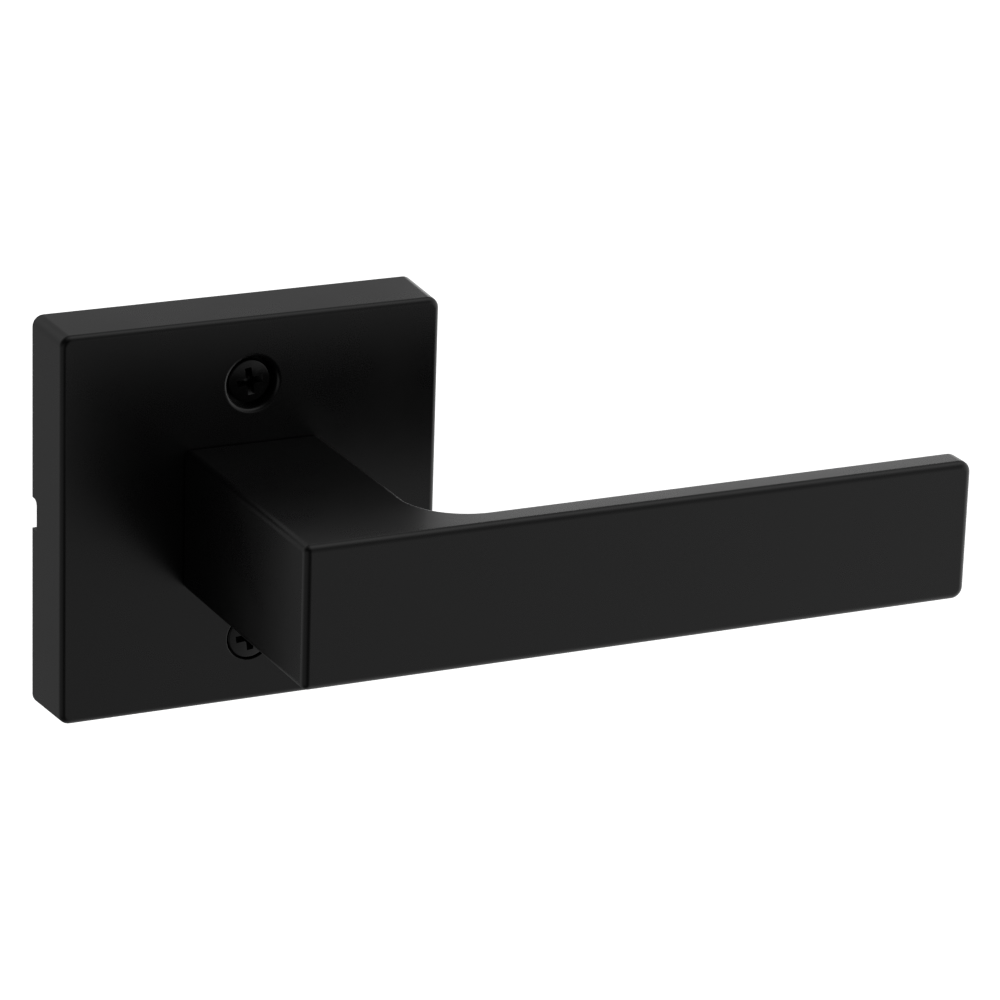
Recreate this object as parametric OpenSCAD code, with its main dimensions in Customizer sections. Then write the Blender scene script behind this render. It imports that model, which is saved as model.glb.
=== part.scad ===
// Door lever handle: one half of a tubular lever set with a square rose and exposed screws.
// Millimetres. The door face is the plane y = 0, the room is on the -Y side, +Z is up and the
// lever points to +X. The origin is on the spindle axis, which is the Y axis.

/* [Rose] */
// Width and height of the rose at the door
rose_w = 66.7; // [64:0.1:72]
// Thickness of the rose from the door to its front face
rose_t = 12; // [11.5:0.1:14]
// Draft of the rose, from the door edge to the front edge on each side
rose_draft = 0.4; // [0:0.05:0.8]
// Radius of the rose's four corners
rose_corner_r = 1.9; // [1:0.1:4]
// Radius of the edges round the rose's front face
rose_edge_r = 1; // [0.4:0.1:1.5]
// Wall thickness of the rose
rose_wall = 2.1; // [1.8:0.1:2.4]
// Height of the notch in the rose's rear edge
notch_h = 5.3; // [3:0.1:8]
// Depth of the notch, away from the door
notch_d = 2; // [1:0.1:3]

/* [Lever] */
// Distance from the door to the lever's front face
projection = 61.3; // [55:0.1:70]
// Distance from the spindle axis to the lever's tip
reach = 106; // [90:1:125]
// Thickness of the bar
bar_t = 5.8; // [4:0.1:7]
// Width of the neck
neck_w = 23.6; // [23:0.1:24]
// Height of the neck and the bar
lever_h = 23.8; // [23:0.1:24]
// Radius of the hollow corner between the neck and the back of the bar
hollow_r = 10; // [6:0.5:14]
// Radius of the lever's long edges
lever_edge_r = 1.2; // [0.4:0.1:1.6]
// Radius of the tip's corners, seen from the front
tip_corner_r = 2; // [1:0.1:5]
// How far the lever turns each way from level, in degrees
lever_turn = 45; // [30:1:50]

/* [Fixings] */
// Distance between the two mounting screws
screw_spacing = 43.7; // [43.4:0.1:45]
// Thread diameter of the mounting screws (No. 8)
screw_d = 4.17; // [4:0.01:4.3]
// Length of the mounting screws under their heads
screw_len = 34.9; // [30:0.1:60]
// Diameter of the screw heads
head_d = 7.3; // [6.4:0.1:7.4]
// Height of the screw heads
head_h = 2.4; // [2:0.1:2.6]
// Diameter of the well round the upper screw head
upper_well_d = 8.6; // [7.8:0.1:9.2]
// Width of the flared lip round the upper well's mouth
upper_lip = 0.8; // [0.3:0.1:1]
// How far the upper head lies below the rose's face
upper_sink = 1.2; // [0.5:0.1:1.8]
// Diameter of the hole round the lower screw head
lower_well_d = 7.8; // [7.6:0.1:9]

/* [Spindle] */
// Width across the flats of the square spindle
spindle_af = 7.9; // [7:0.1:8]
// Length of spindle behind the door face
spindle_out = 45; // [30:1:70]

/* [Hidden] */
$fn = 64;

// Allowance past a face, so that cuts run clean through
over = 1;
// Clearance between parts that move past each other
gap = 0.4;

// Rose
rose_front = -rose_t;
rose_inside = rose_front + 2;
cavity_w = rose_w - 2 * rose_wall;
screw_z = screw_spacing / 2;
screw_hole_r = 2.3;
screw_core_r = screw_d / 2 - 0.5;
boss_r = 4.2;
upper_boss_r = upper_well_d / 2 + 1.3;
lower_boss_r = lower_well_d / 2 + 1.3;
boss_floor = 1.5;
pad_w = 5;
hub_ring_r = 14.6;

// Sheets riveted together inside the rose: lid, cage ears and plate, from front to back
sheet_t = 1.5;
plate_front = -sheet_t;
ear_front = -2 * sheet_t;
lid_front = -3 * sheet_t;
plate_w = cavity_w - 0.6;
plate_corner_r = 2.5;

// Cage
cage_r = 17.3;
cage_bore_r = 15.8;
cage_back = 6;
cage_floor = cage_back - sheet_t;
rivet_ring_r = 20.5;
rivet_r = 1.9;
rivet_head_r = 3;
rivet_tail_r = 2.8;
rivet_sink = 0.9;
ear_r = 4;
stop_half_deg = 8;
stop_r = 12.6;
bumper_deg = 2.4;

// Shank and bushes
shank_r = 8;
shank_tail_r = 7;
run = 0.06;
shank_front = -34;
shank_step = 2;
shank_back = 9.7;
bush_tail_r = 9.6;
bush_front_r = 10.2;
bush_flange_r = 12.4;
sleeve_r = 10;
rear_bush_r = 8.8;
rear_flange_r = 10.5;
cross_pin_y = -21;
cross_pin_r = 1.5;

// Cam
cam_t = 1.7;
cam_r = 14.9;
cam_neck_r = 12.1;
cam_flat = 6;
cam_back = shank_step + cam_t;
lug_w = 2.6;

// Return spring
wire_r = 0.7;
coil_r = 11.2;
coil_turns = 2;
coil_pitch = 1.5;
coil_front = ear_front + 0.3 + wire_r;
leg_x = 2.35;
leg_end = 15;

// Lever
neck_back = rose_front - gap;
lever_front = -projection;
neck_x = neck_w / 2;
half_h = lever_h / 2;
grub_r = 2.5;
grub_y = -28;
grub_seat = -7.2;

// Rings behind the cage
washer_front = cage_back + gap;
washer_t = 0.6;
washer_r = 11.5;
wave_r = 10.4;
ring_bore_r = shank_tail_r + 0.1;
wave_front = washer_front + washer_t;
ring_front = wave_front + 0.7;
ring_t = 1;
groove_r = 6.4;

// A solid cylinder along Y, from y0 to y1
module rod_y(r, y0, y1) {
    translate([0, y0, 0]) rotate([-90, 0, 0]) cylinder(h = y1 - y0, r = r);
}

// A tube along Y
module tube_y(r_out, r_in, y0, y1) {
    difference() {
        rod_y(r_out, y0, y1);
        rod_y(r_in, y0 - over, y1 + over);
    }
}

// A flat outline in X and Z, made solid from y0 to y1
module slab_y(y0, y1) {
    translate([0, y1, 0]) rotate([90, 0, 0]) linear_extrude(height = y1 - y0) children();
}

// A rectangle with round corners
module round_rect(w, h, r) {
    square([w - 2 * r, h], center = true);
    square([w, h - 2 * r], center = true);
    for (sx = [-1, 1], sy = [-1, 1]) translate([sx * (w / 2 - r), sy * (h / 2 - r)]) circle(r);
}

// The rose's outline from the side: door edge at 0, front at -rose_t, with round front edges
module rose_profile() {
    half = rose_w / 2;
    front = half - rose_draft;
    polygon([[-half, 0], [half, 0], [front, rose_edge_r - rose_t], [-front, rose_edge_r - rose_t]]);
    translate([rose_edge_r - front, -rose_t]) square([2 * (front - rose_edge_r), rose_t]);
    for (s = [-1, 1]) translate([s * (front - rose_edge_r), rose_edge_r - rose_t]) circle(rose_edge_r);
}

// The rose's outer shape
module rose_block() {
    intersection() {
        slab_y(rose_front - over, over) round_rect(rose_w, rose_w, rose_corner_r);
        translate([0, 0, -rose_w]) linear_extrude(height = 2 * rose_w) rose_profile();
        rotate([0, 90, 0]) translate([0, 0, -rose_w]) linear_extrude(height = 2 * rose_w) rose_profile();
    }
}

// A boss behind a screw hole: wide round the well, narrow down to the plate
module screw_boss(r, well_floor) {
    rod_y(r, rose_inside - over, well_floor + boss_floor);
    rod_y(boss_r, well_floor, plate_front);
}

// What a flared lip takes away at the rose's face, round a hole
module flared_lip(r, lip) {
    translate([0, rose_front - over, 0]) rotate([-90, 0, 0])
        cylinder(h = lip + over, r1 = r + lip + over, r2 = r);
}

module rose_cover() {
    head_seat_up = rose_front + upper_sink + head_h;
    head_seat_low = rose_front + head_h;
    color([0.09, 0.09, 0.095]) difference() {
        union() {
            difference() {
                rose_block();
                slab_y(rose_inside, over) round_rect(cavity_w, cavity_w, 1);
            }
            translate([0, 0, screw_z]) screw_boss(upper_boss_r, head_seat_up);
            translate([0, 0, -screw_z]) screw_boss(lower_boss_r, head_seat_low);
            tube_y(hub_ring_r, bush_flange_r + 0.1, rose_inside - over, rose_inside + 1.2);
            for (sx = [-1, 1], sz = [-1, 1]) {
                translate([sx * (cavity_w - pad_w + 1) / 2, 0, sz * (cavity_w - pad_w + 1) / 2])
                    slab_y(rose_inside - over, plate_front) square(pad_w, center = true);
            }
        }
        rod_y(bush_front_r, rose_front - over, rose_inside + over);
        translate([0, 0, screw_z]) {
            rod_y(upper_well_d / 2, rose_front - over, head_seat_up);
            flared_lip(upper_well_d / 2, upper_lip);
        }
        translate([0, 0, -screw_z]) rod_y(lower_well_d / 2, rose_front - over, head_seat_low);
        for (s = [-1, 1]) translate([0, 0, s * screw_z]) rod_y(screw_hole_r, rose_inside, over);
        translate([-rose_w / 2 - over, -notch_d, -notch_h / 2])
            cube([rose_wall + 2 * over, notch_d + over, notch_h]);
    }
}

// Four ears on the diagonals, as a flat outline
module ear_outline() {
    for (i = [0:3]) rotate(45 + 90 * i) {
        translate([cage_bore_r, -ear_r]) square([rivet_ring_r - cage_bore_r, 2 * ear_r]);
        translate([rivet_ring_r, 0]) circle(ear_r);
    }
}

// The four rivet places
module at_rivets() {
    for (i = [0:3]) rotate([0, 45 + 90 * i, 0]) translate([rivet_ring_r, 0, 0]) children();
}

// The flared tail of a rivet, which ends flush with the plate's back
module rivet_tail() {
    translate([0, -rivet_sink, 0]) rotate([-90, 0, 0])
        cylinder(h = rivet_sink, r1 = rivet_r, r2 = rivet_tail_r);
}

module mounting_plate() {
    color([0.62, 0.63, 0.65]) difference() {
        slab_y(plate_front, 0) round_rect(plate_w, plate_w, plate_corner_r);
        rod_y(cage_r, plate_front - over, over);
        for (s = [-1, 1]) translate([0, 0, s * screw_z]) rod_y(screw_hole_r, plate_front - over, over);
        at_rivets() {
            rod_y(rivet_r, plate_front - over, 0);
            rivet_tail();
        }
    }
}

// A wedge of a ring round the Y axis, centred on the direction at an angle from +X towards +Z
module ring_wedge(r_in, r_out, y0, y1, at, half) {
    far = r_out * 2;
    rotate([0, -at, 0]) intersection() {
        tube_y(r_out, r_in, y0, y1);
        slab_y(y0, y1) polygon([[0, 0], [far * cos(half), -far * sin(half)], [far, 0],
            [far * cos(half), far * sin(half)]]);
    }
}

module spring_cage() {
    fixed_lug_r = 14.2;
    lug_half_x = leg_x - wire_r - 0.05;
    color([0.6, 0.61, 0.63]) difference() {
        union() {
            tube_y(cage_r, cage_bore_r, ear_front, cage_back);
            tube_y(cage_r, rear_bush_r, cage_floor, cage_back);
            difference() {
                slab_y(ear_front, plate_front) ear_outline();
                rod_y(cage_bore_r, ear_front - over, plate_front + over);
            }
            ring_wedge(stop_r, cage_bore_r + 0.5, shank_step - 0.2, cage_back - 0.5, -90, stop_half_deg);
            translate([-lug_half_x, ear_front, fixed_lug_r])
                cube([2 * lug_half_x, shank_step - 0.5 - ear_front, cage_r - fixed_lug_r - 0.5]);
        }
        at_rivets() rod_y(rivet_r, ear_front - over, plate_front + over);
    }
}

module cage_cover() {
    color([0.6, 0.61, 0.63]) difference() {
        slab_y(lid_front, ear_front) {
            circle(cage_r);
            ear_outline();
        }
        rod_y(bush_tail_r, lid_front - over, ear_front + over);
        at_rivets() rod_y(rivet_r, lid_front - over, ear_front + over);
    }
}

module cage_rivets() {
    color([0.75, 0.76, 0.78]) at_rivets() {
        rod_y(rivet_head_r, lid_front - 1.1, lid_front);
        rod_y(rivet_r, lid_front - 0.5, -rivet_sink / 2);
        rivet_tail();
    }
}

module hub_bushing() {
    color([0.2, 0.2, 0.21]) difference() {
        union() {
            rod_y(bush_front_r, rose_front - 0.1, rose_inside);
            rod_y(bush_flange_r, rose_inside, rose_inside + 1.2);
            rod_y(bush_tail_r, rose_inside, ear_front);
        }
        rod_y(shank_r + run, rose_front - over, over);
    }
}

module spring_sleeve() {
    color([0.8, 0.79, 0.74]) tube_y(sleeve_r, shank_r + run, ear_front, shank_step - 1.2);
}

module rear_bushing() {
    color([0.72, 0.55, 0.3]) difference() {
        union() {
            rod_y(rear_flange_r, cam_back + 0.3, cage_floor);
            rod_y(rear_bush_r, cam_back + 0.3, cage_back + 0.1);
        }
        rod_y(shank_tail_r + run, cam_back - over, cage_back + over);
    }
}

// Points along the spring's wire: up one leg's foot, round the coil, and up the other leg
function leg_angle() = acos(leg_x / coil_r);
function coil_angle(t) = leg_angle() + t * (360 * coil_turns + 180 - 2 * leg_angle());
function coil_point(t) = [
    coil_r * cos(coil_angle(t)),
    coil_front + t * coil_turns * coil_pitch,
    coil_r * sin(coil_angle(t))
];
function coil_end() = coil_front + coil_turns * coil_pitch;
function spring_path(steps) = concat(
    [[leg_x, coil_front, leg_end], [leg_x, coil_front, coil_r + 1.2]],
    [for (i = [0:steps]) coil_point(i / steps)],
    [[-leg_x, coil_end(), coil_r + 1.2], [-leg_x, coil_end(), leg_end]]
);

function unit(v) = v / norm(v);

// A ring of points round path point i, square to the wire, turned from the Y axis
function wire_ring(path, i, sides) =
    let (
        last = len(path) - 1,
        along = unit(path[min(i + 1, last)] - path[max(i - 1, 0)]),
        side = unit(cross(along, [0, 1, 0])),
        up = cross(side, along)
    )
    [for (k = [0:sides - 1]) path[i] + wire_r * (cos(360 * k / sides) * side + sin(360 * k / sides) * up)];

module return_spring() {
    sides = 10;
    path = spring_path(72);
    rings = len(path);
    points = [for (i = [0:rings - 1]) each wire_ring(path, i, sides)];
    walls = [for (i = [0:rings - 2], k = [0:sides - 1])
        [i * sides + k, i * sides + (k + 1) % sides,
            (i + 1) * sides + (k + 1) % sides, (i + 1) * sides + k]];
    near_cap = [[for (k = [sides - 1:-1:0]) k]];
    far_cap = [[for (k = [0:sides - 1]) (rings - 1) * sides + k]];
    color([0.5, 0.5, 0.52]) polyhedron(points = points, faces = concat(walls, near_cap, far_cap));
}

module stop_bumpers() {
    color([0.85, 0.84, 0.8]) for (s = [-1, 1]) {
        ring_wedge(stop_r + 0.3, cage_bore_r - 0.3, shank_step, cage_floor - 0.1,
            -90 + s * (stop_half_deg + bumper_deg / 2), bumper_deg / 2);
    }
}

// A cross-head screw with its head's top at y = 0, a plain neck and then the thread, towards +Y
module cross_screw() {
    dome = 0.5;
    slot_l = 4.2;
    slot_w = 0.95;
    slot_d = 1.5;
    neck_l = 10;
    lead = 0.8;
    difference() {
        union() {
            rod_y(head_d / 2 - dome, 0, dome + 0.1);
            rod_y(head_d / 2, dome, head_h);
            rod_y(screw_core_r, head_h - 0.2, head_h + screw_len);
            rod_y(screw_d / 2, head_h + neck_l, head_h + screw_len - lead);
        }
        for (a = [0, 90]) rotate([0, a, 0])
            translate([-slot_l / 2, -over, -slot_w / 2]) cube([slot_l, slot_d + over, slot_w]);
    }
}

module mounting_screws() {
    color([0.12, 0.12, 0.125]) {
        translate([0, rose_front + upper_sink, screw_z]) cross_screw();
        translate([0, rose_front, -screw_z]) cross_screw();
    }
}

// The lever from above: neck, bar and the hollow corner between them
module lever_plan() {
    bar_back = lever_front + bar_t;
    r = lever_edge_r;
    translate([-neck_x, lever_front + r]) square([neck_w, neck_back - lever_front - r]);
    translate([-neck_x + r, lever_front]) square([reach + neck_x - 2 * r, bar_t]);
    translate([-neck_x + r, lever_front + r]) square([reach + neck_x - r, bar_t - 2 * r]);
    for (at = [[-neck_x + r, lever_front + r], [reach - r, lever_front + r], [reach - r, bar_back - r]])
        translate(at) circle(r);
    difference() {
        translate([0, bar_back - 0.5]) square([neck_x + hollow_r, hollow_r + 0.5]);
        translate([neck_x + hollow_r, bar_back + hollow_r]) circle(hollow_r);
    }
}

// The lever from the front: small corners at the neck's side, larger ones at the tip
module lever_face() {
    r = lever_edge_r;
    c = tip_corner_r;
    translate([-neck_x + r, -half_h]) square([reach + neck_x - r - c, lever_h]);
    translate([-neck_x, -half_h + r]) square([neck_w, lever_h - 2 * r]);
    translate([0, -half_h + c]) square([reach, lever_h - 2 * c]);
    for (s = [-1, 1]) {
        translate([-neck_x + r, s * (half_h - r)]) circle(r);
        translate([reach - c, s * (half_h - c)]) circle(c);
    }
}

// The lever from its tip, in Z and Y: round edges along the front face
module lever_side() {
    r = lever_edge_r;
    translate([-half_h, lever_front + r]) square([lever_h, neck_back - lever_front - r]);
    translate([-half_h + r, lever_front]) square([lever_h - 2 * r, 2 * r]);
    for (s = [-1, 1]) translate([s * (half_h - r), lever_front + r]) circle(r);
}

module lever_handle() {
    color([0.09, 0.09, 0.095]) difference() {
        intersection() {
            translate([0, 0, -half_h - over]) linear_extrude(height = lever_h + 2 * over) lever_plan();
            slab_y(lever_front - over, 0) lever_face();
            rotate([0, 90, 0]) translate([0, 0, -neck_w])
                linear_extrude(height = neck_w + reach + over) lever_side();
        }
        rod_y(shank_r, shank_front, 0);
        translate([0, grub_y, -half_h - over]) cylinder(h = half_h, r = grub_r);
    }
}

// A rod along X, where the cross pin lies
module cross_rod(length) {
    translate([0, cross_pin_y, 0]) rotate([0, 90, 0])
        cylinder(h = length, r = cross_pin_r, center = true);
}

module lever_shank() {
    hole = spindle_af + 0.1;
    color([0.55, 0.56, 0.58]) difference() {
        union() {
            rod_y(shank_r, shank_front, shank_step);
            rod_y(shank_tail_r, 0, shank_back);
        }
        translate([-hole / 2, shank_front - over, -hole / 2])
            cube([hole, shank_back - shank_front + 2 * over, hole]);
        cross_rod(4 * shank_r);
        translate([-shank_r, grub_y - grub_r - 0.5, -shank_r - over])
            cube([2 * shank_r, 2 * grub_r + 1, over + shank_r + grub_seat]);
        for (s = [-1, 1]) translate([s * (cam_flat + over / 2), shank_step + cam_t / 2, 0])
            cube([over, cam_t, 2 * shank_r], center = true);
        tube_y(shank_r, groove_r, ring_front, ring_front + ring_t);
    }
}

module lever_set_screw() {
    socket_af = 2.5;
    color([0.15, 0.15, 0.155]) translate([0, grub_y, 0]) difference() {
        translate([0, 0, 1 - half_h]) cylinder(h = half_h - 1 + grub_seat, r = grub_r);
        translate([0, 0, -half_h]) rotate(30) cylinder(h = 3.2, r = socket_af / sqrt(3), $fn = 6);
    }
}

module drive_cam() {
    play_deg = 1.4;
    notch_half = stop_half_deg + bumper_deg + lever_turn + play_deg;
    lug_root = 12.4;
    lug_tip = 13.7;
    color([0.58, 0.59, 0.61]) difference() {
        union() {
            rod_y(cam_r, shank_step, cam_back);
            translate([-lug_w / 2, coil_front - wire_r, lug_root])
                cube([lug_w, cam_back - coil_front + wire_r, lug_tip - lug_root]);
        }
        ring_wedge(cam_neck_r, cam_r + over, shank_step - over, cam_back + over, -90, notch_half);
        intersection() {
            rod_y(shank_tail_r, shank_step - over, cam_back + over);
            slab_y(shank_step - over, cam_back + over) square([2 * cam_flat, 4 * shank_r], center = true);
        }
    }
}

module thrust_washer() {
    color([0.7, 0.71, 0.73]) tube_y(washer_r, ring_bore_r, washer_front, wave_front);
}

module wave_washer() {
    color([0.5, 0.51, 0.54]) tube_y(wave_r, ring_bore_r, wave_front, ring_front);
}

// A ring with a gap at the bottom and an eye for the pliers on each side of it
module retaining_ring() {
    ring_r = 8.3;
    mouth_w = 2.2;
    eye_r = 1.7;
    eye_x = 2.4;
    eye_z = -8.6;
    hole_r = 0.7;
    ring_back = ring_front + ring_t;
    color([0.3, 0.3, 0.32]) difference() {
        union() {
            tube_y(ring_r, groove_r, ring_front, ring_back);
            for (s = [-1, 1]) translate([s * eye_x, 0, eye_z]) rod_y(eye_r, ring_front, ring_back);
        }
        rod_y(groove_r, ring_front - over, ring_back + over);
        translate([-mouth_w / 2, ring_front - over, -12]) cube([mouth_w, ring_t + 2 * over, 8]);
        for (s = [-1, 1]) translate([s * (eye_x + 0.1), 0, eye_z - 0.3])
            rod_y(hole_r, ring_front - over, ring_back + over);
    }
}

module spindle() {
    front = shank_front + 3;
    point = 2.5;
    color([0.66, 0.67, 0.69]) difference() {
        intersection() {
            translate([-spindle_af / 2, front, -spindle_af / 2])
                cube([spindle_af, spindle_out - front, spindle_af]);
            union() {
                rod_y(spindle_af, front - over, spindle_out - point);
                translate([0, spindle_out - point, 0]) rotate([-90, 0, 0])
                    cylinder(h = point + 1, r1 = spindle_af * 0.72, r2 = spindle_af * 0.4);
            }
        }
        cross_rod(4 * shank_r);
    }
}

module spindle_pin() {
    color([0.5, 0.5, 0.52]) cross_rod(2 * shank_r - 0.2);
}

rose_cover();
mounting_plate();
spring_cage();
cage_cover();
cage_rivets();
hub_bushing();
rear_bushing();
spring_sleeve();
return_spring();
stop_bumpers();
mounting_screws();
lever_handle();
lever_shank();
lever_set_screw();
drive_cam();
thrust_washer();
wave_washer();
retaining_ring();
spindle();
spindle_pin();
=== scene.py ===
import math

import bmesh
import bpy
from mathutils import Matrix, Vector


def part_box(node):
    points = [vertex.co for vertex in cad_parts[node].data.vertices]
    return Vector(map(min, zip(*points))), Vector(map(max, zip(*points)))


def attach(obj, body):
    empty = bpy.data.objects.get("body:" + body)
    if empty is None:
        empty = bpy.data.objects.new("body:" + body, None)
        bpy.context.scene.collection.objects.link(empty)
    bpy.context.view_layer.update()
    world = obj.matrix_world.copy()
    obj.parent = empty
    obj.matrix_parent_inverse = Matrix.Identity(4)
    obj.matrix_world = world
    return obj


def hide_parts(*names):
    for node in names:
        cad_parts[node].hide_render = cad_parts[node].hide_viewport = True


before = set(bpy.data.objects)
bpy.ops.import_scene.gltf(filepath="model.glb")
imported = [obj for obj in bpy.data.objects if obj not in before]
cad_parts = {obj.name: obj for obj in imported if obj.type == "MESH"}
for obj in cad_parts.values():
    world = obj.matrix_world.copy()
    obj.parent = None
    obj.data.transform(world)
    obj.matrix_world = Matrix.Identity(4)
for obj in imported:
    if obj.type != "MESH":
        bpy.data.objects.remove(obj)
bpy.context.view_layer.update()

# One half of a door lever set. The door face is y = 0, the room is on the -Y side, +Z is up and
# the lever points to +X. The spindle axis is the Y axis. Lengths are metres, written as so many MM.
MM = 0.001
TINY = 0.001 * MM

# The outer sizes come from the CAD's boxes, so they follow the CAD. The details are given here.
ROSE_LOW, ROSE_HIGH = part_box("rose_cover")
LEVER_LOW, LEVER_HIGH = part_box("lever_handle")
SCREWS_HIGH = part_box("mounting_screws")[1]
WAVE_LOW, WAVE_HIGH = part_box("wave_washer")
SPRING_LOW, SPRING_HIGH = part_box("return_spring")

ROSE_FRONT = ROSE_LOW.y
ROSE_HALF = ROSE_HIGH.x
ROSE_DRAFT = 0.4 * MM
ROSE_CORNER_R = 1.9 * MM
ROSE_EDGE_R = 1.0 * MM
ROSE_REAR_EDGE_R = 0.2 * MM
ROSE_WALL = 2.1 * MM
ROSE_INSIDE = ROSE_FRONT + 2 * MM
CAVITY_HALF = ROSE_HALF - ROSE_WALL
CAVITY_CORNER_R = 1.0 * MM
HUB_HOLE_R = 10.2 * MM
HUB_RING_R = 14.6 * MM
HUB_SEAT_R = 12.5 * MM
HUB_RING_H = 1.2 * MM
PAD_W = 5 * MM
BOSS_R = 4.2 * MM
BOSS_WALL = 1.3 * MM
BOSS_FLOOR = 1.5 * MM
BOSS_CHAMFER = 0.3 * MM

LEVER_FRONT = LEVER_LOW.y
NECK_BACK = LEVER_HIGH.y
NECK_X = -LEVER_LOW.x
REACH = LEVER_HIGH.x
HALF_H = LEVER_HIGH.z
BAR_T = 5.8 * MM
HOLLOW_R = 10 * MM
LEVER_EDGE_R = 1.2 * MM
NECK_END_R = 0.25 * MM
TIP_CORNER_R = 2.0 * MM
SHANK_R = 8 * MM
SHANK_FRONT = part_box("lever_shank")[0].y
GRUB_R = 2.5 * MM
GRUB_Y = -28 * MM
HOLE_CHAMFER = 0.35 * MM

HEAD_R = 3.65 * MM
HEAD_H = 2.4 * MM
SCREW_L = 34.9 * MM
SCREW_NECK_L = 10 * MM
SCREW_R = 2.085 * MM
SCREW_CORE_R = SCREW_R - 0.5 * MM
THREAD_PITCH = 0.794 * MM
SCREW_Z = SCREWS_HIGH.z - HEAD_R
UPPER_SINK = 1.2 * MM
UPPER_WELL_R = 4.3 * MM
UPPER_LIP = 0.8 * MM
LOWER_WELL_R = 3.9 * MM
LOWER_LIP = 0.15 * MM
SCREW_HOLE_R = 2.3 * MM
PLATE_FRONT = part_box("mounting_plate")[0].y


# ---------------------------------------------------------------- mesh helpers

def object_from(name, bm):
    """A new object holding the bmesh, with its normals outward."""
    bmesh.ops.recalc_face_normals(bm, faces=bm.faces)
    mesh = bpy.data.meshes.new(name)
    bm.to_mesh(mesh)
    bm.free()
    obj = bpy.data.objects.new(name, mesh)
    bpy.context.scene.collection.objects.link(obj)
    return obj


def bridge(bm, here, there):
    """Faces all the way round between two rings of as many points."""
    count = len(here)
    for i in range(count):
        j = (i + 1) % count
        bm.faces.new((here[i], here[j], there[j], there[i]))


def prism(name, outline, low, high, axis):
    """A closed outline of 2-D points, made solid from low to high along an axis.

    Along Y the points are (x, z), along Z they are (x, y) and along X they are (y, z)."""
    place = {
        "x": lambda u, v, w: (w, u, v),
        "y": lambda u, v, w: (u, w, v),
        "z": lambda u, v, w: (u, v, w),
    }[axis]
    bm = bmesh.new()
    ends = [[bm.verts.new(place(u, v, w)) for u, v in outline] for w in (low, high)]
    for end in ends:
        bm.faces.new(end)
    bridge(bm, *ends)
    return object_from(name, bm)


def frustum(name, near, near_y, far, far_y):
    """A block between two rectangles across Y, each given by half its width and half its height."""
    bm = bmesh.new()
    ends = []
    for (half_x, half_z), y in ((near, near_y), (far, far_y)):
        corners = ((-1, -1), (1, -1), (1, 1), (-1, 1))
        ends.append([bm.verts.new((sx * half_x, y, sz * half_z)) for sx, sz in corners])
        bm.faces.new(ends[-1])
    bridge(bm, *ends)
    return object_from(name, bm)


def lathe(name, profile, steps=96, centre=(0, 0)):
    """A profile of (radius, y) points turned round a line along Y. Its two ends lie on the line."""
    x, z = centre
    bm = bmesh.new()
    rings = []
    for r, y in profile:
        if r < TINY:
            rings.append([bm.verts.new((x, y, z))])
            continue
        angles = [2 * math.pi * i / steps for i in range(steps)]
        rings.append([bm.verts.new((x + r * math.cos(a), y, z + r * math.sin(a))) for a in angles])
    for a, b in zip(rings, rings[1:]):
        for i in range(steps):
            j = (i + 1) % steps
            corners = [a[i % len(a)], a[j % len(a)], b[j % len(b)], b[i % len(b)]]
            bm.faces.new(list(dict.fromkeys(corners)))
    return object_from(name, bm)


def arc(centre, radius, start_deg, end_deg, steps):
    """Points on an arc, both ends included."""
    angles = [math.radians(start_deg + (end_deg - start_deg) * i / steps) for i in range(steps + 1)]
    return [(centre[0] + radius * math.cos(a), centre[1] + radius * math.sin(a)) for a in angles]


def round_square(half, radius, steps=6):
    """The outline of a square with round corners."""
    inner = half - radius
    corners = [(inner, inner, 0), (-inner, inner, 90), (-inner, -inner, 180), (inner, -inner, 270)]
    return [p for x, z, a in corners for p in arc((x, z), radius, a, a + 90, steps)]


def bake_modifiers(obj):
    """Puts what the modifiers make into the object's own mesh."""
    bpy.context.view_layer.update()
    graph = bpy.context.evaluated_depsgraph_get()
    mesh = bpy.data.meshes.new_from_object(obj.evaluated_get(graph))
    obj.modifiers.clear()
    obj.data = mesh


def combine(obj, other, operation="DIFFERENCE"):
    """Cuts the other solid from obj, or joins it to obj, and removes the other solid."""
    step = obj.modifiers.new("combine", "BOOLEAN")
    step.operation = operation
    step.solver = "EXACT"
    step.object = other
    bake_modifiers(obj)
    bpy.data.objects.remove(other)


def round_edges(obj, radius, segments, pick):
    """Rounds the edges that pick(edge) accepts."""
    bm = bmesh.new()
    bm.from_mesh(obj.data)
    bm.normal_update()
    edges = [e for e in bm.edges if pick(e)]
    bmesh.ops.bevel(
        bm, geom=edges, offset=radius, offset_type="OFFSET", segments=segments,
        profile=0.5, affect="EDGES", clamp_overlap=True,
    )
    bm.to_mesh(obj.data)
    bm.free()


def is_sharp(edge, degrees=40):
    return len(edge.link_faces) == 2 and edge.calc_face_angle(0) > math.radians(degrees)


def on_plane(edge, axis, value):
    return all(abs(v.co[axis] - value) < TINY for v in edge.verts)


def clean(obj):
    """After cutting: merges doubled points and drops points in the middle of straight edges."""
    bm = bmesh.new()
    bm.from_mesh(obj.data)
    bmesh.ops.remove_doubles(bm, verts=bm.verts, dist=TINY)
    bmesh.ops.dissolve_degenerate(bm, edges=bm.edges, dist=TINY)
    bmesh.ops.dissolve_limit(bm, angle_limit=math.radians(0.1), verts=bm.verts, edges=bm.edges)
    bm.to_mesh(obj.data)
    bm.free()


def smooth(obj, degrees=35):
    """Smooth shading that keeps flat faces flat and true corners sharp."""
    obj.data.shade_smooth()
    obj.data.set_sharp_from_angle(angle=math.radians(degrees))
    weighted = obj.modifiers.new("weighted_normals", "WEIGHTED_NORMAL")
    weighted.keep_sharp = True
    weighted.weight = 100


# ---------------------------------------------------------------- materials

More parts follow.
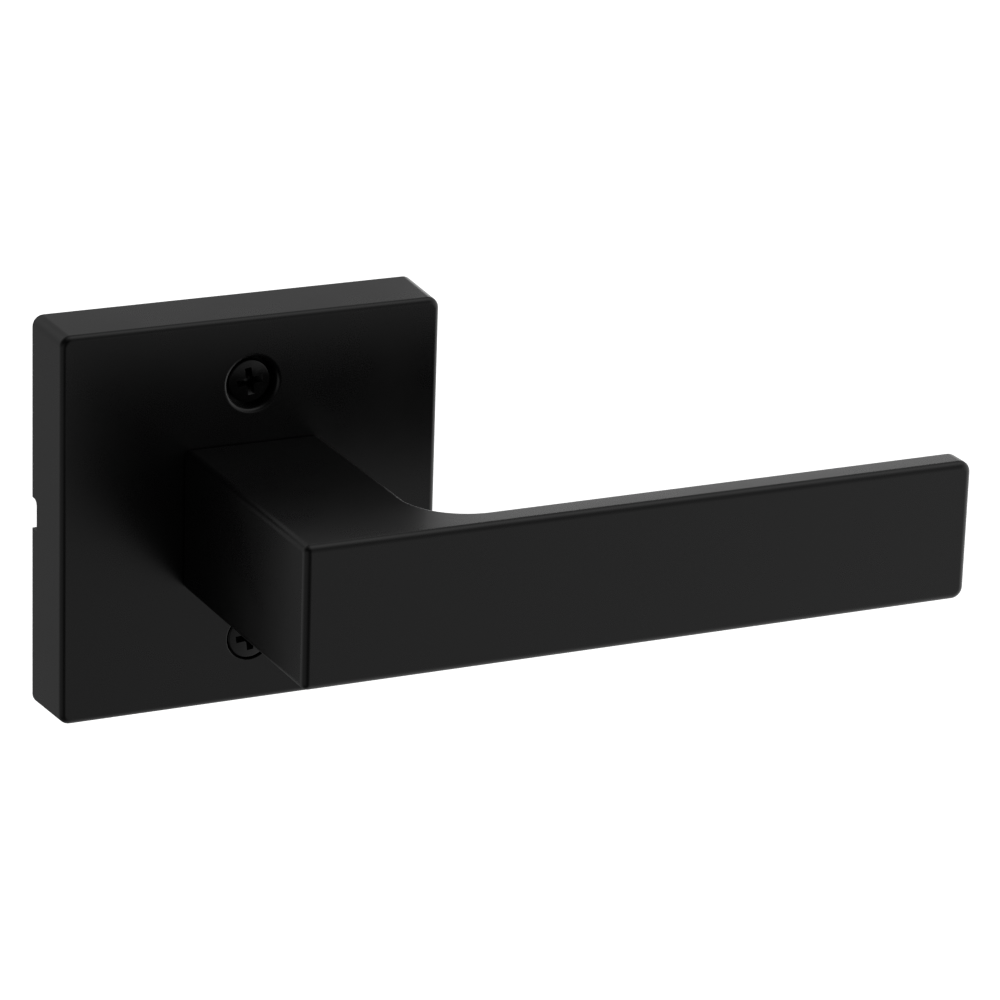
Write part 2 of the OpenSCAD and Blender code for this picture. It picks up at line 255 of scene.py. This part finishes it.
def maths(tree, operation, a, b):
    """A maths node on two values, each a float or another node's output."""
    made = tree.nodes.new("ShaderNodeMath")
    made.operation = operation
    for socket, value in zip(made.inputs, (a, b)):
        if isinstance(value, float):
            socket.default_value = value
        else:
            tree.links.new(value, socket)
    return made.outputs["Value"]


class Shader:
    """Builds one Principled material from nodes."""

    def __init__(self, name, **values):
        self.material = bpy.data.materials.new(name)
        self.material.use_nodes = True
        self.tree = self.material.node_tree
        self.tree.nodes.clear()
        self.surface = self.node("ShaderNodeBsdfPrincipled")
        for socket, value in values.items():
            self.surface.inputs[socket.replace("_", " ")].default_value = value
        output = self.node("ShaderNodeOutputMaterial")
        self.link(self.surface.outputs["BSDF"], output.inputs["Surface"])
        self.place = self.node("ShaderNodeTexCoord").outputs["Object"]

    def node(self, kind, **settings):
        made = self.tree.nodes.new(kind)
        for key, value in settings.items():
            setattr(made, key, value)
        return made

    def link(self, source, target):
        self.tree.links.new(source, target)

    def noise(self, size, detail=3.0, stretch=(1, 1, 1)):
        """Noise whose features are about size metres across, from 0 to 1."""
        mapping = self.node("ShaderNodeMapping")
        mapping.inputs["Scale"].default_value = stretch
        self.link(self.place, mapping.inputs["Vector"])
        made = self.node("ShaderNodeTexNoise")
        made.inputs["Scale"].default_value = 1 / size
        made.inputs["Detail"].default_value = detail
        self.link(mapping.outputs["Vector"], made.inputs["Vector"])
        return made.outputs["Fac"]

    def fit(self, value, low, high, to_low, to_high):
        """The value, with low to high carried to to_low to to_high."""
        made = self.node("ShaderNodeMapRange")
        ends = {"From Min": low, "From Max": high, "To Min": to_low, "To Max": to_high}
        for socket, number in ends.items():
            made.inputs[socket].default_value = number
        self.link(value, made.inputs["Value"])
        return made.outputs["Result"]

    def add(self, a, b):
        return maths(self.tree, "ADD", a, b)

    def blend(self, share, a, b):
        """A colour between a and b. Each is an RGB triple or another node's output."""
        made = self.node("ShaderNodeMix", data_type="RGBA")
        self.link(share, made.inputs["Factor"])
        for socket, value in ((made.inputs[6], a), (made.inputs[7], b)):
            if isinstance(value, tuple):
                socket.default_value = (*value, 1)
            else:
                self.link(value, socket)
        return made.outputs[2]

    def edges(self, radius):
        """1 on outer edges and corners within radius, 0 on flat faces."""
        rounded = self.node("ShaderNodeBevel", samples=6)
        rounded.inputs["Radius"].default_value = radius
        geometry = self.node("ShaderNodeNewGeometry")
        dot = self.node("ShaderNodeVectorMath", operation="DOT_PRODUCT")
        self.link(rounded.outputs["Normal"], dot.inputs[0])
        self.link(geometry.outputs["Normal"], dot.inputs[1])
        return self.fit(dot.outputs["Value"], 0.995, 0.8, 0.0, 1.0)

    def bumps(self, *layers):
        """Bump layers, each (height, strength, depth in metres)."""
        normal = None
        for height, strength, depth in layers:
            bump = self.node("ShaderNodeBump")
            bump.inputs["Strength"].default_value = strength
            bump.inputs["Distance"].default_value = depth
            self.link(height, bump.inputs["Height"])
            if normal:
                self.link(normal, bump.inputs["Normal"])
            normal = bump.outputs["Normal"]
        self.link(normal, self.surface.inputs["Normal"])

    def colour(self, source):
        self.link(source, self.surface.inputs["Base Color"])

    def roughness(self, source):
        self.link(source, self.surface.inputs["Roughness"])


def black_coat():
    """Satin black powder coat on die-cast zinc: slow mottling, orange peel and a fine grain, with a
    painted highlight that lightens the colour on rounded edges.
    """
    shader = Shader("black_coat", Specular_IOR_Level=0.30)
    cloud = shader.noise(14 * MM, detail=4)
    peel = shader.noise(0.9 * MM, detail=2)
    grain = shader.noise(0.16 * MM, detail=2)
    base = shader.blend(cloud, (0.0030, 0.0030, 0.0031), (0.0042, 0.0042, 0.0043))
    # Painted highlight: the colour is lighter on rounded edges, standing in for the light those edges
    # catch.
    shader.colour(shader.blend(shader.edges(0.5 * MM), base, (0.006, 0.006, 0.0062)))
    slow = shader.fit(cloud, 0.3, 0.7, 0.26, 0.31)
    shader.roughness(shader.add(slow, shader.fit(grain, 0.2, 0.8, -0.02, 0.02)))
    shader.bumps((peel, 0.35, 0.006 * MM), (grain, 0.25, 0.003 * MM))
    return shader.material


def black_screw():
    """Black plated steel, glossier than the rose's coat, with a painted highlight that lightens the
    colour on its rounded edges and head rim.
    """
    shader = Shader("black_screw", Specular_IOR_Level=0.30)
    cloud = shader.noise(1.5 * MM, detail=4)
    grain = shader.noise(0.12 * MM, detail=3)
    base = shader.blend(cloud, (0.0015, 0.0015, 0.0015), (0.003, 0.003, 0.003))
    # Painted highlight: the colour is lighter on rounded edges such as the head's rim, standing in for
    # the light the rim catches.
    shader.colour(shader.blend(shader.edges(0.2 * MM), base, (0.010, 0.010, 0.0102)))
    shader.roughness(shader.fit(cloud, 0.25, 0.75, 0.16, 0.24))
    shader.bumps((grain, 0.3, 0.004 * MM))
    return shader.material


def metal(name, dark, light, rough, grain_size, stretch=(1, 1, 1), edge=None):
    """Bare or plated metal with rolling marks, patches of duller finish and brighter edges."""
    shader = Shader(name, Metallic=1.0)
    cloud = shader.noise(6 * MM, detail=5)
    marks = shader.noise(grain_size, detail=4, stretch=stretch)
    base = shader.blend(cloud, dark, light)
    if edge:
        base = shader.blend(shader.edges(0.25 * MM), base, edge)
    shader.colour(base)
    slow = shader.fit(cloud, 0.3, 0.7, rough, rough + 0.12)
    shader.roughness(shader.add(slow, shader.fit(marks, 0.2, 0.8, -0.06, 0.06)))
    shader.bumps((marks, 0.25, 0.004 * MM))
    return shader.material


def nylon(name, dark, light):
    """Moulded nylon: a faint cloudiness, a fine spark-eroded grain and some light inside."""
    shader = Shader(name, Subsurface_Weight=0.15, Subsurface_Scale=1 * MM)
    cloud = shader.noise(4 * MM, detail=3)
    grain = shader.noise(0.2 * MM, detail=2)
    shader.colour(shader.blend(cloud, dark, light))
    shader.roughness(shader.fit(grain, 0.25, 0.75, 0.42, 0.55))
    shader.bumps((grain, 0.3, 0.005 * MM))
    return shader.material


BLACK_COAT = black_coat()
BLACK_SCREW = black_screw()
PLATED = metal(
    "plated_steel", (0.40, 0.41, 0.42), (0.52, 0.53, 0.54), rough=0.30, grain_size=0.5 * MM,
    stretch=(1, 1, 0.12), edge=(0.80, 0.80, 0.81),
)
TURNED = metal(
    "turned_steel", (0.46, 0.47, 0.48), (0.58, 0.59, 0.60), rough=0.26, grain_size=0.3 * MM,
    stretch=(1, 12, 1), edge=(0.75, 0.75, 0.76),
)
SPRING_STEEL = metal(
    "spring_steel", (0.20, 0.20, 0.22), (0.33, 0.33, 0.35), rough=0.30, grain_size=0.3 * MM,
    edge=(0.45, 0.45, 0.47),
)
BRONZE = metal(
    "sintered_bronze", (0.42, 0.27, 0.12), (0.58, 0.39, 0.19), rough=0.40, grain_size=0.15 * MM,
)
NATURAL_NYLON = nylon("natural_nylon", (0.66, 0.64, 0.58), (0.75, 0.74, 0.68))
DARK_NYLON = nylon("dark_nylon", (0.028, 0.028, 0.029), (0.040, 0.040, 0.041))


def paint(obj, material):
    obj.data.materials.clear()
    obj.data.materials.append(material)


# ---------------------------------------------------------------- lever

def lever_casting():
    """The neck and the bar in one casting: an L seen from above, hollow inside the bend."""
    bar_back = LEVER_FRONT + BAR_T
    hollow_x = NECK_X + HOLLOW_R
    plan = [(-NECK_X, LEVER_FRONT), (REACH, LEVER_FRONT), (REACH, bar_back)]
    plan += arc((hollow_x, bar_back + HOLLOW_R), HOLLOW_R, 270, 180, 24)
    plan += [(NECK_X, NECK_BACK), (-NECK_X, NECK_BACK)]
    lever = prism("lever_casting", plan, -HALF_H, HALF_H, "z")

    def tip_corner(edge):
        level = abs(edge.verts[0].co.z - edge.verts[1].co.z) < TINY
        return is_sharp(edge) and on_plane(edge, 0, REACH) and level

    round_edges(lever, TIP_CORNER_R, 8, tip_corner)
    round_edges(lever, LEVER_EDGE_R, 6, lambda e: is_sharp(e) and not on_plane(e, 1, NECK_BACK))
    round_edges(lever, NECK_END_R, 3, lambda e: is_sharp(e) and on_plane(e, 1, NECK_BACK))

    bore_mouth_r = SHANK_R + HOLE_CHAMFER
    bore = [(0, NECK_BACK + MM), (bore_mouth_r, NECK_BACK + MM), (bore_mouth_r, NECK_BACK)]
    bore += [(SHANK_R, NECK_BACK - HOLE_CHAMFER), (SHANK_R, SHANK_FRONT), (0, SHANK_FRONT)]
    combine(lever, lathe("bore", bore))

    hole_mouth_r, hole_depth = GRUB_R + HOLE_CHAMFER, HALF_H - 2 * MM
    hole = lathe("hole", [
        (0, -MM), (hole_mouth_r, -MM), (hole_mouth_r, 0), (GRUB_R, HOLE_CHAMFER),
        (GRUB_R, hole_depth), (0, hole_depth),
    ], steps=48)
    upward = Matrix.Rotation(math.pi / 2, 4, "X")
    hole.matrix_world = Matrix.Translation((0, GRUB_Y, -HALF_H)) @ upward
    combine(lever, hole)
    clean(lever)
    smooth(lever)
    paint(lever, BLACK_COAT)
    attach(lever, "lever")
    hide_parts("lever_handle")


# ---------------------------------------------------------------- rose

def well_cutter(radius, lip, floor, z):
    """What a screw well takes away: a round hole with a rounded lip at its mouth."""
    profile = [(0, ROSE_FRONT - MM), (radius + lip, ROSE_FRONT - MM)]
    profile += [(radius + lip - x, ROSE_FRONT + lip - y) for x, y in arc((0, 0), lip, 90, 0, 8)]
    profile += [(radius, floor), (0, floor)]
    return lathe("well", profile, centre=(0, z))


def notch_cutter():
    """The notch in the left wall's rear edge: one square corner and one soft one."""
    half, depth = 2.65 * MM, 2.0 * MM
    soft, lip = 1.0 * MM, 0.5 * MM
    outline = [(MM, -half), (-depth, -half)]
    outline += arc((-depth + soft, half - soft), soft, 180, 90, 5)
    outline += arc((-lip, half + lip), lip, 270, 360, 4)
    outline += [(MM, half + lip)]
    return prism("notch", outline, -ROSE_HALF - MM, -CAVITY_HALF + MM, "x")


def boss(well_r, floor, z):
    """The stepped post behind a screw well: it holds the head's seat and stands on the plate."""
    root = ROSE_INSIDE - MM
    wide, step, c = well_r + BOSS_WALL, floor + BOSS_FLOOR, BOSS_CHAMFER
    profile = [(0, root), (wide, root), (wide, step - c), (wide - c, step)]
    profile += [(BOSS_R + c, step), (BOSS_R, step + c), (BOSS_R, PLATE_FRONT), (0, PLATE_FRONT)]
    return lathe("boss", profile, centre=(0, z))


def corner_pad(sx, sz):
    """A square post in one corner of the cavity, which stands on the plate."""
    half = PAD_W / 2
    x, z = (s * (CAVITY_HALF - half + 0.5 * MM) for s in (sx, sz))
    outline = [(x + u * half, z + v * half) for u, v in ((-1, -1), (1, -1), (1, 1), (-1, 1))]
    return prism("pad", outline, ROSE_INSIDE - MM, PLATE_FRONT, "y")


def plug(name, radius, start, end, z=0, steps=96):
    """A solid cylinder along Y."""
    profile = [(0, start), (radius, start), (radius, end), (0, end)]
    return lathe(name, profile, steps=steps, centre=(0, z))


def rose_casting():
    """The square cover: a drafted shell with screw bosses, a ring round the hub and corner pads."""

    def corner(edge):
        return not on_plane(edge, 1, 0) and not on_plane(edge, 1, ROSE_FRONT)

    front = ROSE_HALF - ROSE_DRAFT
    rose = frustum("rose_casting", (front, front), ROSE_FRONT, (ROSE_HALF, ROSE_HALF), 0)
    round_edges(rose, ROSE_CORNER_R, 8, corner)
    round_edges(rose, ROSE_EDGE_R, 6, lambda e: is_sharp(e) and on_plane(e, 1, ROSE_FRONT))
    round_edges(rose, ROSE_REAR_EDGE_R, 2, lambda e: is_sharp(e) and on_plane(e, 1, 0))
    cavity = prism("cavity", round_square(CAVITY_HALF, CAVITY_CORNER_R), ROSE_INSIDE, MM, "y")
    combine(rose, cavity)

    upper_floor = ROSE_FRONT + UPPER_SINK + HEAD_H
    lower_floor = ROSE_FRONT + HEAD_H
    combine(rose, boss(UPPER_WELL_R, upper_floor, SCREW_Z), "UNION")
    combine(rose, boss(LOWER_WELL_R, lower_floor, -SCREW_Z), "UNION")
    combine(rose, plug("ring", HUB_RING_R, ROSE_INSIDE - MM, ROSE_INSIDE + HUB_RING_H), "UNION")
    combine(rose, plug("seat", HUB_SEAT_R, ROSE_INSIDE, MM))
    for sx in (-1, 1):
        for sz in (-1, 1):
            combine(rose, corner_pad(sx, sz), "UNION")

    combine(rose, well_cutter(UPPER_WELL_R, UPPER_LIP, upper_floor, SCREW_Z))
    combine(rose, well_cutter(LOWER_WELL_R, LOWER_LIP, lower_floor, -SCREW_Z))
    for z in (-SCREW_Z, SCREW_Z):
        combine(rose, plug("through", SCREW_HOLE_R, ROSE_FRONT + MM, MM, z, steps=48))
    combine(rose, plug("hub", HUB_HOLE_R, ROSE_FRONT - MM, 0))
    combine(rose, notch_cutter())
    clean(rose)
    smooth(rose)
    paint(rose, BLACK_COAT)
    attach(rose, "rose")
    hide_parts("rose_cover")


# ---------------------------------------------------------------- screws

def recess_cutter(turn_deg):
    """A tapered cross, as a driver's tip leaves it."""
    depth, above = 1.9 * MM, -0.01 * MM
    top = (2.35 * MM, 0.58 * MM)
    foot = (0.75 * MM, 0.36 * MM)
    heart_top, heart_foot = 1.0 * MM, 0.45 * MM
    cutter = None
    for quarter in (0, 90):
        arm = frustum("arm", top, above, foot, depth)
        arm.data.transform(Matrix.Rotation(math.radians(turn_deg + quarter), 4, "Y"))
        if cutter:
            combine(cutter, arm, "UNION")
        else:
            cutter = arm
    profile = [(0, above), (heart_top, above), (heart_foot, depth), (0, depth + 0.2 * MM)]
    combine(cutter, lathe("heart", profile, steps=24), "UNION")
    return cutter


def threaded_end(start, end):
    """A solid rod whose wall carries a helical thread, from y = start to y = end."""
    around, per_turn = 32, 10
    rows = int((end - start) / THREAD_PITCH * per_turn)
    bm = bmesh.new()
    rings = []
    for row in range(rows + 1):
        y = start + (end - start) * row / rows
        run_in = min(1.0, (y - start) / THREAD_PITCH, (end - y) / (1.5 * THREAD_PITCH))
        ring = []
        for i in range(around):
            phase = (y / THREAD_PITCH - i / around) % 1.0
            flank = min(1.0, max(0.0, 0.5 + 1.35 * (abs(phase - 0.5) * 2 - 0.5)))
            r = SCREW_CORE_R + (SCREW_R - SCREW_CORE_R) * flank * run_in
            a = 2 * math.pi * i / around
            ring.append(bm.verts.new((r * math.cos(a), y, r * math.sin(a))))
        rings.append(ring)
    for here, there in zip(rings, rings[1:]):
        bridge(bm, here, there)
    bm.faces.new(rings[0])
    bm.faces.new(rings[-1])
    return object_from("thread", bm)


def cross_screw(turn_deg):
    """One screw with its head's top at y = 0."""
    dome, edge, chamfer, fillet = 0.12 * MM, 0.3 * MM, 0.2 * MM, 0.25 * MM
    thread_start = HEAD_H + SCREW_NECK_L
    neck_end = thread_start + 0.5 * MM
    head = [(0, 0), (1.6 * MM, 0.02 * MM), (HEAD_R - edge, dome)]
    head += [(HEAD_R - edge + u, dome + edge - v) for u, v in arc((0, 0), edge, 75, 0, 5)]
    head += [(HEAD_R, HEAD_H - chamfer), (HEAD_R - chamfer, HEAD_H), (SCREW_CORE_R + fillet, HEAD_H)]
    head += [(SCREW_CORE_R, HEAD_H + fillet), (SCREW_CORE_R, neck_end), (0, neck_end)]
    screw = lathe("screw", head, steps=64)
    combine(screw, recess_cutter(turn_deg))
    combine(screw, threaded_end(thread_start, HEAD_H + SCREW_L), "UNION")
    return screw


def mounting_screws():
    """Both screws as one piece: the upper head lies in its well, the lower one is flush."""
    upper, lower = cross_screw(-8), cross_screw(-7)
    upper.data.transform(Matrix.Translation((0, ROSE_FRONT + UPPER_SINK, SCREW_Z)))
    lower.data.transform(Matrix.Translation((0, ROSE_FRONT, -SCREW_Z)))
    bm = bmesh.new()
    for screw in (upper, lower):
        bm.from_mesh(screw.data)
        bpy.data.objects.remove(screw)
    screws = object_from("cross_head_screws", bm)
    smooth(screws, 50)
    paint(screws, BLACK_SCREW)
    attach(screws, "rose")
    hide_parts("mounting_screws")


# ---------------------------------------------------------------- wave washer and return spring

def wave_washer():
    """A ring of spring strip bent into three waves."""
    waves, around, strip = 3, 144, 0.3 * MM
    inner, outer = 7.1 * MM, WAVE_HIGH.x
    middle = (WAVE_LOW.y + WAVE_HIGH.y) / 2
    swing = (WAVE_HIGH.y - WAVE_LOW.y - strip) / 2
    bm = bmesh.new()
    rings = []
    for i in range(around):
        a = 2 * math.pi * i / around
        y = middle + swing * math.cos(waves * a)
        half = strip / 2
        section = ((inner, y - half), (outer, y - half), (outer, y + half), (inner, y + half))
        rings.append([bm.verts.new((r * math.cos(a), v, r * math.sin(a))) for r, v in section])
    for i in range(around):
        bridge(bm, rings[i], rings[(i + 1) % around])
    washer = object_from("wave_spring_washer", bm)
    smooth(washer)
    paint(washer, SPRING_STEEL)
    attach(washer, "lever")
    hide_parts("wave_washer")


def return_spring():
    """A torsion spring: each leg bends up out of the coil, one on either side of the cam's lug."""
    wire_r, leg_x, turns, pitch = 0.7 * MM, 2.35 * MM, 2, 1.5 * MM
    coil_r = SPRING_HIGH.x - wire_r
    leg_top = SPRING_HIGH.z
    front = SPRING_LOW.y + wire_r
    first = math.acos(leg_x / coil_r)
    sweep = 2 * math.pi * turns + math.pi - 2 * first
    steps, bend = 120, 1.2 * MM
    path = [Vector((leg_x, front, leg_top)), Vector((leg_x, front, coil_r + bend))]
    for i in range(1, steps):
        t = i / steps
        a = first + t * sweep
        path.append(Vector((coil_r * math.cos(a), front + t * turns * pitch, coil_r * math.sin(a))))
    back = front + turns * pitch
    path += [Vector((-leg_x, back, coil_r + bend)), Vector((-leg_x, back, leg_top))]
    sides = 14
    bm = bmesh.new()
    rings = []
    for i, point in enumerate(path):
        along = (path[min(i + 1, len(path) - 1)] - path[max(i - 1, 0)]).normalized()
        side = along.cross(Vector((0, 1, 0))).normalized()
        up = side.cross(along)
        ring = []
        for k in range(sides):
            a = 2 * math.pi * k / sides
            ring.append(bm.verts.new(point + wire_r * (math.cos(a) * side + math.sin(a) * up)))
        rings.append(ring)
    for here, there in zip(rings, rings[1:]):
        bridge(bm, here, there)
    bm.faces.new(rings[0])
    bm.faces.new(rings[-1])
    spring = object_from("torsion_spring", bm)
    smooth(spring)
    paint(spring, SPRING_STEEL)
    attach(spring, "rose")
    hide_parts("return_spring")


# ---------------------------------------------------------------- CAD nodes that stay

def finish_cad_node(name, material, radius):
    """Gives a CAD node its material and breaks its sharp edges by a small radius."""
    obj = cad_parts[name]
    weld = obj.modifiers.new("weld", "WELD")
    weld.merge_threshold = TINY
    bevel = obj.modifiers.new("broken_edges", "BEVEL")
    bevel.width = radius
    bevel.segments = 2
    bevel.limit_method = "ANGLE"
    bevel.angle_limit = math.radians(40)
    weighted = obj.modifiers.new("weighted_normals", "WEIGHTED_NORMAL")
    weighted.keep_sharp = True
    paint(obj, material)


CAD_FINISHES = {
    "mounting_plate": (PLATED, 0.15 * MM),
    "spring_cage": (PLATED, 0.15 * MM),
    "cage_cover": (PLATED, 0.12 * MM),
    "cage_rivets": (TURNED, 0.12 * MM),
    "hub_bushing": (DARK_NYLON, 0.10 * MM),
    "rear_bushing": (BRONZE, 0.10 * MM),
    "spring_sleeve": (NATURAL_NYLON, 0.10 * MM),
    "stop_bumpers": (NATURAL_NYLON, 0.10 * MM),
    "lever_shank": (TURNED, 0.10 * MM),
    "lever_set_screw": (BLACK_SCREW, 0.10 * MM),
    "drive_cam": (PLATED, 0.10 * MM),
    "thrust_washer": (PLATED, 0.08 * MM),
    "retaining_ring": (SPRING_STEEL, 0.08 * MM),
    "spindle": (PLATED, 0.25 * MM),
    "spindle_pin": (TURNED, 0.10 * MM),
}


# ---------------------------------------------------------------- stage

def camera(azimuth_deg, elevation_deg, roll_deg, aim, distance, lens_mm):
    """A camera that looks at aim. Azimuth 0 looks along +Y, elevation is above the horizon."""
    a, e = math.radians(azimuth_deg), math.radians(elevation_deg)
    back = Vector((math.sin(a) * math.cos(e), -math.cos(a) * math.cos(e), math.sin(e)))
    data = bpy.data.cameras.new("camera")
    data.lens = lens_mm
    data.sensor_width = 36
    data.clip_start = 0.01
    data.clip_end = 100
    obj = bpy.data.objects.new("camera", data)
    bpy.context.scene.collection.objects.link(obj)
    place = Matrix.Translation(Vector(aim) + back * distance)
    turn = (-back).to_track_quat("-Z", "Y").to_matrix().to_4x4()
    roll = Matrix.Rotation(math.radians(roll_deg), 4, "Z")
    obj.matrix_world = place @ turn @ roll
    bpy.context.scene.camera = obj


def panel(name, corners):
    """A flat panel of the stage, through its corners."""
    bm = bmesh.new()
    bm.faces.new([bm.verts.new(corner) for corner in corners])
    return object_from(name, bm)


def floor():
    """A large pale floor, well below the lever. It glows like a light table, so it shows no shadow."""
    half, drop, glow = 4.0, 0.22, 0.8
    corners = ((-1, -1), (1, -1), (1, 1), (-1, 1))
    obj = panel("floor", [(sx * half, sy * half, -drop) for sx, sy in corners])
    shader = Shader("floor_paint", Roughness=0.9, Specular_IOR_Level=0.1, Emission_Strength=glow)
    shader.surface.inputs["Emission Color"].default_value = (1, 1, 1, 1)
    shader.colour(shader.blend(shader.noise(0.3), (0.86, 0.86, 0.86), (0.88, 0.88, 0.88)))
    paint(obj, shader.material)
    obj.visible_glossy = False
    obj.visible_diffuse = False


def card():
    """A light panel behind the lever, which shows only in gloss: the bar's top face mirrors it."""
    glow = 1.35
    left, right, low, high, back = 92 * MM, 260 * MM, -5 * MM, 79 * MM, 110 * MM
    corners = ((left, low), (right, low), (right, high), (left, high))
    obj = panel("card", [(x, back, z) for x, z in corners])
    shader = Shader("card_light", Specular_IOR_Level=0.0, Emission_Strength=glow)
    shader.surface.inputs["Base Color"].default_value = (0, 0, 0, 1)
    shader.surface.inputs["Emission Color"].default_value = (1, 1, 1, 1)
    paint(obj, shader.material)
    obj.visible_camera = False
    obj.visible_diffuse = False
    obj.visible_shadow = False


def studio(fill, softboxes):
    """Soft light from a few wide softboxes, each (direction, how tight, strength), on a faint fill.

    The camera itself sees plain white behind the floor."""
    world = bpy.data.worlds.new("studio")
    world.use_nodes = True
    bpy.context.scene.world = world
    tree = world.node_tree
    around = tree.nodes.new("ShaderNodeTexCoord").outputs["Generated"]
    light = fill
    for direction, tightness, strength in softboxes:
        facing = tree.nodes.new("ShaderNodeVectorMath")
        facing.operation = "DOT_PRODUCT"
        tree.links.new(around, facing.inputs[0])
        facing.inputs[1].default_value = Vector(direction).normalized()
        lobe = maths(tree, "MAXIMUM", facing.outputs["Value"], 0.0)
        lobe = maths(tree, "POWER", lobe, tightness)
        light = maths(tree, "ADD", light, maths(tree, "MULTIPLY", lobe, strength))
    seen = tree.nodes.new("ShaderNodeLightPath").outputs["Is Camera Ray"]
    background = tree.nodes["Background"]
    tree.links.new(maths(tree, "MAXIMUM", light, seen), background.inputs["Strength"])
    background.inputs["Color"].default_value = (1, 1, 1, 1)


lever_casting()
rose_casting()
mounting_screws()
wave_washer()
return_spring()
for node_name, (finish, edge_radius) in CAD_FINISHES.items():
    finish_cad_node(node_name, finish, edge_radius)

camera(
    azimuth_deg=-26.03, elevation_deg=19.23, roll_deg=1.88,
    aim=(20.9 * MM, -61.3 * MM, 15.6 * MM), distance=769.5 * MM, lens_mm=178.9,
)
floor()
card()
studio(0.03, [
    ((1, -0.2, -0.3), 2.0, 1.6),
    ((-0.85, -0.5, -0.2), 8.0, 0.45),
    ((0.5, 0.85, 0.2), 6.0, 0.36),
    ((-0.6, 0.6, -0.55), 6.0, 0.25),
    ((-0.9, 0.4, -0.2), 8.0, 0.6),
    ((-0.4, 0.75, 0.5), 8.0, 0.6),
    ((0.35, -0.1, 0.9), 8.0, 1.3),
    ((0.2, 0.1, -1), 8.0, 0.5),
])
bpy.context.scene.view_settings.view_transform = "Standard"
